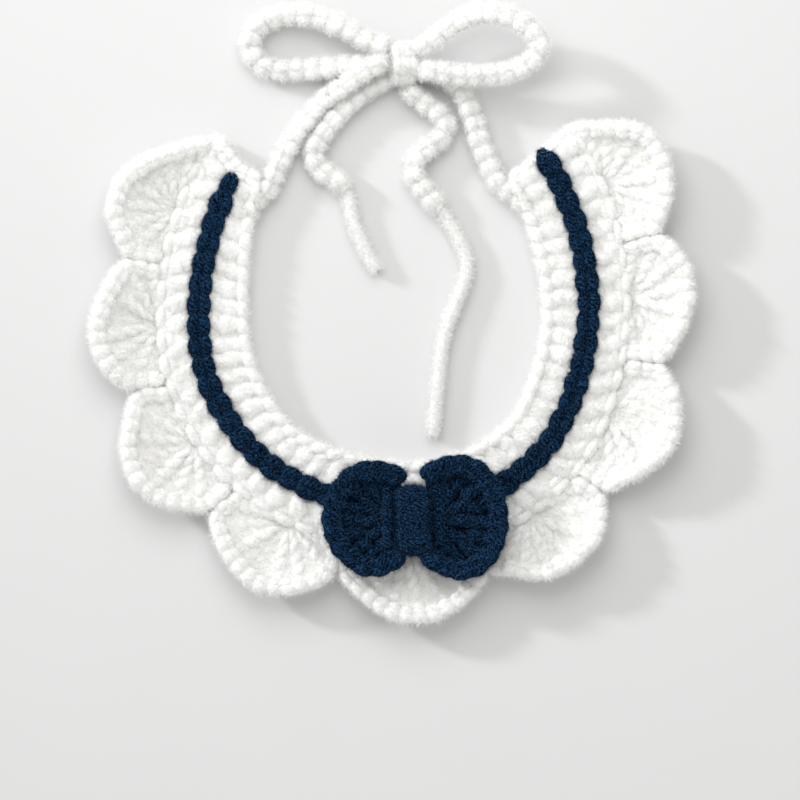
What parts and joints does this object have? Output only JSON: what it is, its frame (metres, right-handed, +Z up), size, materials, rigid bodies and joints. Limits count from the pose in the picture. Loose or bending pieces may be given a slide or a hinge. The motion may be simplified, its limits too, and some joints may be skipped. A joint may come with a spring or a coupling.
{
  "type": "crochet pet collar",
  "caption": "Crocheted pet collar laid flat: a round yoke with a scalloped shell edge, a contrast surface chain, a sewn-on bow at the front and tie cords knotted in a bow behind the neck.",
  "frame": {"origin": "on the surface that the collar lies on, under the middle of the collar's box without its tie cords", "axes": "+Z up through the collar's thickness, -Y from the neck opening towards the bow at the front, +X across the collar"},
  "size_m": [0.1664, 0.1695, 0.0148],
  "materials": {
    "white_yarn": "matt plied off-white yarn, double crochet and chain stitch",
    "navy_yarn": "matt plied navy yarn, double crochet and chain stitch"
  },
  "bodies": {
    "root": {"yoke": "white_yarn", "shell_1": "white_yarn", "shell_2": "white_yarn", "shell_3": "white_yarn", "shell_4": "white_yarn", "shell_5": "white_yarn", "shell_6": "white_yarn", "shell_7": "white_yarn", "shell_8": "white_yarn", "shell_9": "white_yarn", "tie_knot": "white_yarn", "tie_left_lead": "white_yarn", "tie_left_loop": "white_yarn", "tie_left_tail": "white_yarn", "tie_right_lead": "white_yarn", "tie_right_loop": "white_yarn", "tie_right_tail": "white_yarn", "navy_chain": "navy_yarn", "bow_left": "navy_yarn", "bow_right": "navy_yarn", "bow_wrap": "navy_yarn"}
  },
  "joints": []
}
